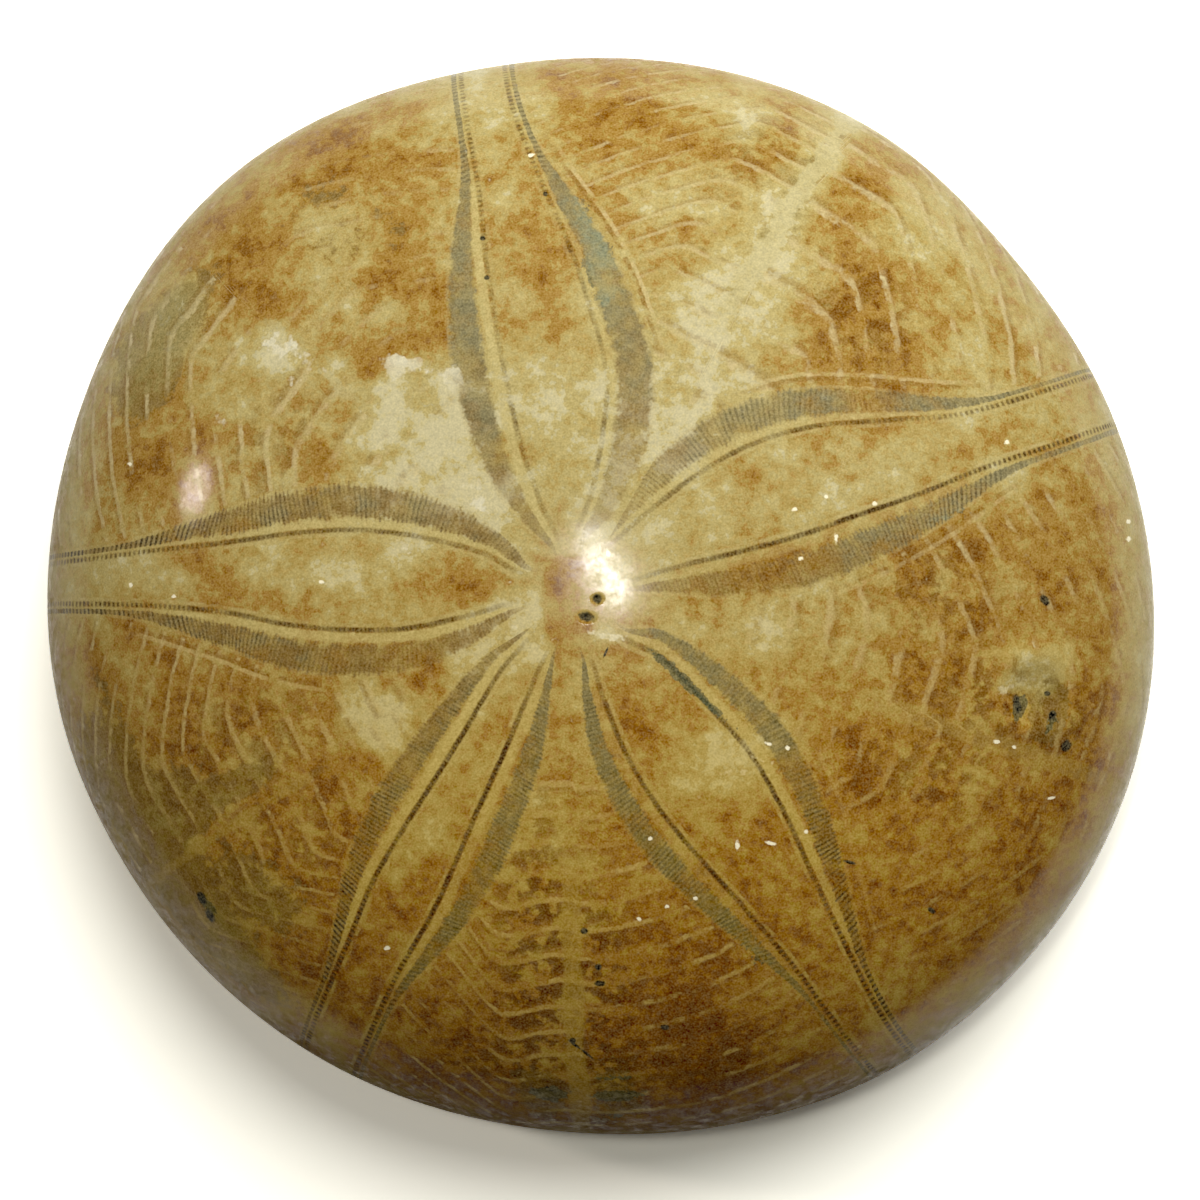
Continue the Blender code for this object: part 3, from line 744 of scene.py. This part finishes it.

# ---------------------------------------------------------------------------------------------
# The finish.
# Honey-coloured calcite under a hand polish: mottled straw and amber, cream sutures, olive slit
# bands and dark pores, all flush, with a few open pits, dark mineral specks and painted crystal glints;
# painted shade darkens and warms the hind part.
# ---------------------------------------------------------------------------------------------


class Tone:
    """One number, colour or direction inside a material; sums on numbers add Math nodes."""

    def __init__(self, tree, socket=None):
        self.tree = tree
        self.socket = socket

    def node(self, kind, settings=None, inputs=None, output=0):
        """Adds any node: its settings first, then the values or links of its sockets."""
        made = self.tree.nodes.new(kind)
        for name, value in (settings or {}).items():
            if name == "stops":
                while len(made.color_ramp.elements) < len(value):
                    made.color_ramp.elements.new(1.0)
                for element, (position, colour) in zip(made.color_ramp.elements, value):
                    element.position = position
                    element.color = colour + (1.0,)
            else:
                setattr(made, name, value)
        for name, value in (inputs or {}).items():
            if isinstance(value, Tone):
                self.tree.links.new(value.socket, made.inputs[name])
            else:
                made.inputs[name].default_value = value
        return Tone(self.tree, made.outputs[output] if made.outputs else None)

    def math(self, operation, *values):
        """Adds a Math node on these values."""
        return self.node("ShaderNodeMath", {"operation": operation}, dict(enumerate(values)))

    def __add__(self, other):
        return self.math("ADD", self, other)

    def __radd__(self, other):
        return self.math("ADD", other, self)

    def __sub__(self, other):
        return self.math("SUBTRACT", self, other)

    def __rsub__(self, other):
        return self.math("SUBTRACT", other, self)

    def __mul__(self, other):
        return self.math("MULTIPLY", self, other)

    def __rmul__(self, other):
        return self.math("MULTIPLY", other, self)

    def __abs__(self):
        return self.math("ABSOLUTE", self)

    def at_least(self, low):
        """This number, or low where that is larger."""
        return self.math("MAXIMUM", self, low)

    def fraction(self):
        """What is left above the whole number below."""
        return self.math("FRACT", self)

    def ramp(self, low, high):
        """0 at low, 1 at high, with a smooth rise; low may be the larger."""
        settings = {"interpolation_type": "SMOOTHSTEP"}
        inputs = {"Value": self, "From Min": low, "From Max": high}
        if low > high:
            inputs = {"Value": self, "From Min": high, "From Max": low, "To Min": 1.0, "To Max": 0.0}
        return self.node("ShaderNodeMapRange", settings, inputs)

    def wave(self):
        """1 at every whole number and -1 midway."""
        return self.math("COSINE", self * (2.0 * math.pi))

    def blend(self, base, top, mode="MIX"):
        """Lays colour top over colour base where this number is 1."""
        settings = {"data_type": "RGBA", "blend_type": mode}
        return self.node("ShaderNodeMix", settings, {0: self, 6: base, 7: top}, 2)


stone = bpy.data.materials.new("polished_calcite")
stone.use_nodes = True
tree = stone.node_tree
tree.nodes.clear()
kit = Tone(tree)
in_stone = kit.node("ShaderNodeTexCoord", output="Object")
in_stone_mm = kit.node("ShaderNodeVectorMath", {"operation": "SCALE"}, {0: in_stone, "Scale": 1.0 / MM})


def cloud(size, detail, roughness, shift):
    """Soft noise of that size in millimetres, about 0, at an own place in the stone."""
    inputs = {0: in_stone_mm, 1: (shift, shift, shift)}
    moved = kit.node("ShaderNodeVectorMath", {"operation": "ADD"}, inputs)
    inputs = {"Vector": moved, "Scale": 1.0 / size, "Detail": detail, "Roughness": roughness}
    return kit.node("ShaderNodeTexNoise", None, inputs, "Fac") - 0.5


def kept(name):
    """A number that the stone's mesh holds."""
    return kit.node("ShaderNodeAttribute", {"attribute_name": name}, output="Fac")


reach_at = kept("reach")
across_at = kept("across")
bead_at = kept("bead")
comb_at = kept("comb")
hind_at = kept("hind")
dull_at = kept("dull")
slit_at = kept("slit")
beyond_at = kept("beyond")
grey_at = kept("grey")
row_tone_at = kept("row_tone")
border_at = kept("border")
stain_at = kept("stain")
olive_at = kept("olive")
teal_at = kept("teal")
crystal_and_glint_at = kept("crystal")
cells_at = kept("cells")
plate_at = kept("plate")
plate_show_at = kept("plate_show")
seam_edge_at = kept("seam_edge")
seam_show_at = kept("seam_show")
seam_pale_at = kept("seam_pale")
slit_show_at = kept("slit_show")
band_show_at = kept("band_show")
stripe_show_at = kept("stripe_show")

broad = cloud(size=6.0, detail=1.0, roughness=0.5, shift=5.0)
patch = cloud(size=3.0, detail=3.0, roughness=0.58, shift=31.0)
gate = cloud(size=2.2, detail=2.0, roughness=0.55, shift=41.0)
mid = cloud(size=1.0, detail=2.0, roughness=0.60, shift=57.0)
small = cloud(size=0.34, detail=1.0, roughness=0.6, shift=71.0)
grain = cloud(size=0.15, detail=0.0, roughness=0.5, shift=83.0)
ragged = mid * 0.8 + small * 0.6
mottle = patch + (mid * 0.72 + small * 0.36) * (hind_at * 0.35 + 1.0)

# Pale straw to brown in a few steps with crisp, grainy edges, by the stains and the mottling.
CALCITE = (
    (0.00, (0.520, 0.455, 0.250)),
    (0.14, (0.495, 0.425, 0.210)),
    (0.17, (0.432, 0.350, 0.138)),
    (0.33, (0.420, 0.330, 0.117)),
    (0.35, (0.382, 0.280, 0.084)),
    (0.50, (0.370, 0.260, 0.071)),
    (0.52, (0.328, 0.196, 0.042)),
    (0.70, (0.312, 0.176, 0.034)),
    (0.72, (0.245, 0.118, 0.016)),
    (1.00, (0.165, 0.072, 0.008)),
)
OLIVE_CLAY = (0.200, 0.160, 0.055, 1.0)
OLIVE_STRENGTH = 0.55
VEIN_CREAM = (0.50, 0.41, 0.19, 1.0)
VEIN_TONE = 0.41
VEIN_STRENGTH = 0.40

tone = stain_at + mottle
colour = kit.node("ShaderNodeValToRGB", {"stops": CALCITE}, {0: tone})
olive = (olive_at + mottle * 1.1).ramp(0.40, 0.62)
colour = (olive * OLIVE_STRENGTH).blend(colour, OLIVE_CLAY)
vein = abs(tone - VEIN_TONE + small * 0.1).ramp(0.045, 0.012) * (broad * 2.5 + 0.35)
colour = (vein.at_least(0.0) * VEIN_STRENGTH).blend(colour, VEIN_CREAM)

# Plate sutures: a broken cream line with a brown shadow on its outer side, and darker plates.
# The middle seams are plain bands over them.
PLATES_BEGIN = (10.0, 17.0)
CELL_SHIFT = 0.44
CELL_BROWN = (0.115, 0.055, 0.010, 1.0)
CELL_STRENGTH = 0.80
SHADE_AT = 0.66
SHADE_STRENGTH = 0.42
SUTURE_BROWN = (0.20, 0.105, 0.020, 1.0)
SUTURE_CREAM = (0.50, 0.405, 0.195, 1.0)
SEAM_OCHRE = (0.375, 0.275, 0.075, 1.0)
SEAM_CREAM = (0.465, 0.395, 0.185, 1.0)

clear_of_band = beyond_at.ramp(0.30, 0.60)
plate_run = plate_at + gate * 0.26 + ragged * 0.18
plate_part = plate_run.fraction()
from_suture = abs(plate_part - SUTURE_AT)
worn = (broad * 0.6 + gate * 0.4 + mid * 0.5 + plate_show_at * 0.25 - 0.19).ramp(-0.09, 0.07)
plates_seen = plate_show_at * clear_of_band * reach_at.ramp(*PLATES_BEGIN) * worn
cell_part = (plate_part + CELL_SHIFT).fraction()
cell = cell_part.ramp(0.95, 0.45) * from_suture.ramp(0.06, 0.14) * cells_at * clear_of_band
cell = cell * (gate + mid * 1.2).ramp(-0.14, 0.06)
colour = (cell * CELL_STRENGTH).blend(colour, CELL_BROWN)
suture_shade = abs(plate_part - SHADE_AT).ramp(0.16, 0.04) * plates_seen
colour = (suture_shade * SHADE_STRENGTH).blend(colour, SUTURE_BROWN)
suture = from_suture.ramp(0.140, 0.045) * plates_seen
colour = (suture * (patch * 1.6 + ragged * 0.8 + 0.72)).blend(colour, SUTURE_CREAM)
seam_run = (patch * 3.2 + ragged * 1.2) * (seam_pale_at * 0.8 + 0.2) + seam_edge_at
seam_colour = seam_pale_at.blend(SEAM_OCHRE, SEAM_CREAM)
colour = (seam_run.ramp(0.16, -0.16) * seam_show_at).blend(colour, seam_colour)

# Beside the petals: a brown and a cream border line, the plain stripe, and the cream lining.
# Each line is given by how far beyond the band it runs.
PETALS_BEGIN = (3.0, 6.0)
FAR_OUT = (25.0, 38.0)
BROWN_LINE = 0.95
CREAM_LINE = 1.35
EDGE_LINE = 0.12
BORDER_BROWN = (0.235, 0.125, 0.022, 1.0)
BROWN_STRENGTH = 0.7
BORDER_CREAM = (0.54, 0.43, 0.20, 1.0)
CREAM_STRENGTH = 0.6
STRIPE_STRAW = (0.475, 0.385, 0.152, 1.0)
LINING_STRAW = (0.450, 0.365, 0.150, 1.0)
BAND_EDGE_STRAW = (0.450, 0.355, 0.145, 1.0)

petal_run = reach_at.ramp(*PETALS_BEGIN)
far = reach_at.ramp(*FAR_OUT)
border_from = beyond_at + ragged * 0.3
border_seen = border_at * (gate + mid).ramp(-0.25, 0.0)
brown_line = abs(border_from - BROWN_LINE).ramp(0.30, 0.12) * border_seen
colour = (brown_line * BROWN_STRENGTH).blend(colour, BORDER_BROWN)
cream_line = abs(border_from - CREAM_LINE).ramp(0.26, 0.10) * border_seen
colour = (cream_line * CREAM_STRENGTH).blend(colour, BORDER_CREAM)
stripe = (across_at + ragged * 0.25).ramp(0.16, 0.34) * (across_at + ragged * 0.4).ramp(1.20, 0.85)
stripe = stripe * (slit_at + ragged * 0.3).ramp(0.06, -0.08) * petal_run
colour = (stripe * stripe_show_at * (gate * 1.3 + ragged + 0.85)).blend(colour, STRIPE_STRAW)
lining = across_at.ramp(-0.62, -0.42) * across_at.ramp(-0.14, -0.28) * petal_run
lining = lining * (gate + mid).ramp(-0.14, 0.10)
colour = (lining * row_tone_at * (ragged + 0.75)).blend(colour, LINING_STRAW)
edge_line = abs(beyond_at - EDGE_LINE + ragged * 0.5).ramp(0.24, 0.06) * petal_run
colour = (edge_line * (gate * 1.5 + 0.30)).blend(colour, BAND_EDGE_STRAW)

# The band of slits, brown to grey with teal in places, pale between the slits and dark in them.
BAND_BROWN = (0.205, 0.126, 0.034, 1.0)
BAND_GREY = (0.208, 0.178, 0.084, 1.0)
BAND_TEAL = (0.205, 0.212, 0.120, 1.0)
SLIT_WALL = (0.40, 0.31, 0.13, 1.0)
SLIT_BROWN = (0.045, 0.030, 0.011, 1.0)

slits = (comb_at + ragged * 0.30).wave()
frayed = slits * slit_show_at * 0.06 + ragged * 0.45
band = (slit_at + frayed).ramp(-0.10, 0.12) * (slit_at - frayed).ramp(1.12, 0.88) * petal_run
greyness = (gate * 1.2 + mid * 0.6 + grey_at).ramp(0.20, 0.80)
band_colour = greyness.blend(BAND_BROWN, BAND_GREY)
band_colour = (teal_at + mid).ramp(0.35, 0.60).blend(band_colour, BAND_TEAL)
band_depth = band * band_show_at * (0.74 - patch * 1.6 + ragged * 1.1)
colour = band_depth.blend(colour, band_colour)
slit_seen = (band * slit_show_at * (gate * 2.6 + ragged * 1.6 + 0.62)).at_least(0.0)
colour = (slits.ramp(0.2, -0.8) * slit_seen * (far * 0.20 + 0.28)).blend(colour, SLIT_WALL)
colour = (slits.ramp(-0.2, 0.8) * slit_seen * (far * 0.35 + 0.52)).blend(colour, SLIT_BROWN)

# The row of round pores: nearly a dark line by the apex, and single beads towards the rim.
ROW_BEGIN = (3.6, 6.5)
ROW_GROWTH = (6.0, 14.0)
ROW_BROWN = (0.085, 0.050, 0.013, 1.0)
ROW_TEAL = (0.060, 0.080, 0.058, 1.0)

row = abs(across_at + ragged * 0.20).ramp(0.30, 0.08) * reach_at.ramp(*ROW_BEGIN)
row = row * (reach_at.ramp(*ROW_GROWTH) * 0.5 + 0.5)
beads = (bead_at + ragged * 0.35).wave().ramp(-0.7, 0.7)
row_dark = row_tone_at * (0.68 - far * 0.60)
row_dark = row_dark + beads * (0.28 + far * 0.70) * (0.30 + row_tone_at * 0.55)
row_dark = row * (row_dark + gate * 1.3 + ragged * 0.9).at_least(0.0)
row_colour = teal_at.ramp(0.25, 0.75).blend(ROW_BROWN, ROW_TEAL)
colour = row_dark.blend(colour, row_colour)

# Teal and grey minerals in the cracks, and clean white crystal, part of it painted highlight.
MINERAL_TEAL = (0.080, 0.092, 0.056, 1.0)
MINERAL_STRENGTH = 0.72
CRYSTAL_AND_GLINT_WHITE = (0.61, 0.555, 0.37, 1.0)

mineral = (teal_at + mid * 1.1 + small * 0.7).ramp(0.58, 0.72) * (1.0 - band)
colour = (mineral * MINERAL_STRENGTH).blend(colour, MINERAL_TEAL)
spar_and_glints = (crystal_and_glint_at * 1.1 + mid * 2.5 + small * 0.5).ramp(0.62, 1.05)
colour = (spar_and_glints * (gate * 1.6 + 0.78)).blend(colour, CRYSTAL_AND_GLINT_WHITE)


def marks_seen(layers, uneven, out_at, full_at):
    """1 inside the small oval marks of these layers, down to 0 where the uneven distance is out_at."""
    shown = None
    for name in layers:
        inside = kit.node("ShaderNodeAttribute", {"attribute_name": name}, output="Vector")
        inside = kit.node("ShaderNodeVectorMath", {"operation": "LENGTH"}, {0: inside}, "Value")
        mark = (inside + small * uneven).ramp(out_at, full_at)
        shown = mark if shown is None else shown.at_least(mark)
    return shown


# Painted shade: the hind part is multiplied darker and warmer. Dark specks and painted glints lie on
# it.
HIND_PAINTED_SHADE = (0.95, 0.81, 0.40, 1.0)
SPECK_BLACK = (0.040, 0.036, 0.020, 1.0)
SPECK_STRENGTH = 0.92
GLINT_CREAM = (0.88, 0.80, 0.55, 1.0)

colour = hind_at.blend(colour, HIND_PAINTED_SHADE, "MULTIPLY")
specks = marks_seen(dark_layers, uneven=0.6, out_at=1.25, full_at=0.65)
colour = (specks * SPECK_STRENGTH).blend(colour, SPECK_BLACK)
painted_glints = marks_seen(glint_layers, uneven=1.3, out_at=0.95, full_at=0.45)
colour = painted_glints.blend(colour, GLINT_CREAM)

# The grain of the calcite is nearly neutral: it lifts the weak blue as much as the red.
GRAIN_TINT = (0.40, 0.34, 0.17)

inputs = {0: grain * 0.50 + small * 0.46, 1: GRAIN_TINT, 2: colour}
colour = kit.node("ShaderNodeVectorMath", {"operation": "MULTIPLY_ADD"}, inputs)

# The polish is a clear coat, patchy where the wax has worn, over stone that has no gloss itself.
PLAIN_WAX = 0.30
LEAST_WAX = 0.05
WORN_ROUGHNESS = 0.40
BUMP_HEIGHT = 0.002

height = mid * BUMP_HEIGHT
bump = kit.node("ShaderNodeBump", None, {"Strength": 1.0, "Distance": MM, "Height": height})
wax = PLAIN_WAX + mid * 0.9 + small * 0.3 - dull_at
finish = kit.node(
    "ShaderNodeBsdfPrincipled",
    None,
    {
        "Base Color": colour,
        "Roughness": WORN_ROUGHNESS + mid * 0.25 + band * 0.06 + row_dark * 0.15,
        "Normal": bump,
        "IOR": 1.50,
        "Specular IOR Level": 0.0,
        "Coat Weight": wax.at_least(LEAST_WAX),
        "Coat Roughness": 0.11,
        "Coat IOR": 1.5,
    },
)
kit.node("ShaderNodeOutputMaterial", None, {"Surface": finish})

stone_mesh.materials.append(stone)
urchin = bpy.data.objects.new("polished_urchin", stone_mesh)
bpy.context.scene.collection.objects.link(urchin)
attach(urchin, "root")
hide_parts("sea_urchin")

# ---------------------------------------------------------------------------------------------
# The studio.
# A plain pale floor, one big soft light beyond the urchin's front, three small ones overhead that
# make the bright spot by the apex, a warm one at the left, and a camera almost square above.
# ---------------------------------------------------------------------------------------------

FLOOR_HALF_WIDTH = 2.0
# Past white, so that soft light leaves it blank.
FLOOR_WHITE = (1.8, 1.76, 1.56, 1.0)

floor_mesh = bpy.data.meshes.new("studio_floor")
sheet = bmesh.new()
bmesh.ops.create_grid(sheet, x_segments=1, y_segments=1, size=FLOOR_HALF_WIDTH)
sheet.to_mesh(floor_mesh)
sheet.free()
floor = bpy.data.objects.new("studio_floor", floor_mesh)
bpy.context.scene.collection.objects.link(floor)
floor_paint = bpy.data.materials.new("pale_floor")
floor_paint.use_nodes = True
floor_paint.node_tree.nodes.clear()
floor_kit = Tone(floor_paint.node_tree)
paint = floor_kit.node("ShaderNodeBsdfDiffuse", None, {"Color": FLOOR_WHITE})
floor_kit.node("ShaderNodeOutputMaterial", None, {"Surface": paint})
floor_mesh.materials.append(floor_paint)
floor.visible_diffuse = False

# Each lamp: name, place, width and length, turn, power, tint, and whether it shows in the polish.
LAMPS = (
    ("window_light", (0.13, 0.31, 0.35), (0.58, 0.58), 0.0, 3.68, (1.0, 1.0, 1.0), False),
    ("top_light", (-0.040, 0.051, 0.90), (0.018, 0.058), 30.0, 0.46, (1.0, 1.0, 0.95), True),
    ("top_glow", (-0.037, 0.046, 0.90), (0.046, 0.072), 35.0, 0.22, (1.0, 0.97, 0.90), True),
    ("top_tail", (-0.055, 0.088, 0.90), (0.014, 0.036), 0.0, 0.18, (1.0, 1.0, 0.95), True),
    ("left_light", (-0.83, 0.27, 0.63), (0.13, 0.10), 0.0, 1.2, (1.0, 0.91, 0.86), True),
)
for lamp_name, lamp_place, lamp_size, lamp_turn, power, tint, mirrored in LAMPS:
    lamp_data = bpy.data.lights.new(lamp_name, "AREA")
    lamp_data.shape = "ELLIPSE"
    lamp_data.size = lamp_size[0]
    lamp_data.size_y = lamp_size[1]
    lamp_data.energy = power
    lamp_data.color = tint
    lamp = bpy.data.objects.new(lamp_name, lamp_data)
    out = Vector(lamp_place).normalized()
    side = Vector((0.0, 1.0, 0.0)).cross(out).normalized()
    aimed = Matrix((side, out.cross(side), out)).transposed().to_4x4()
    spun = Matrix.Rotation(math.radians(lamp_turn), 4, "Z")
    lamp.matrix_world = Matrix.Translation(lamp_place) @ aimed @ spun
    lamp.visible_glossy = mirrored
    bpy.context.scene.collection.objects.link(lamp)

ROOM_TINT = (0.95, 0.97, 1.0, 1.0)
ROOM_LIGHT = 0.095

world = bpy.data.worlds.new("studio")
bpy.context.scene.world = world
world.use_nodes = True
room = world.node_tree.nodes["Background"]
room.inputs["Color"].default_value = ROOM_TINT
room.inputs["Strength"].default_value = ROOM_LIGHT
bpy.context.scene.view_settings.view_transform = "Standard"

CAMERA_TILT = (4.3, 2.0)
CAMERA_DISTANCE = 0.400
CAMERA_AIM = Vector((0.00029, -0.00049, 0.010))
CAMERA_LENS = 147.75
CAMERA_FILM = 36.0

back = Vector((math.sin(math.radians(CAMERA_TILT[0])), -math.sin(math.radians(CAMERA_TILT[1])), 0.0))
back.z = math.sqrt(1.0 - back.x**2 - back.y**2)
right = Vector((0.0, 1.0, 0.0)).cross(back).normalized()
up = back.cross(right)
camera_data = bpy.data.cameras.new("camera")
camera_data.lens = CAMERA_LENS
camera_data.sensor_width = CAMERA_FILM
camera = bpy.data.objects.new("camera", camera_data)
camera.matrix_world = Matrix.Translation(CAMERA_AIM + back * CAMERA_DISTANCE) @ (
    Matrix((right, up, back)).transposed().to_4x4()
)
bpy.context.scene.collection.objects.link(camera)
bpy.context.scene.camera = camera
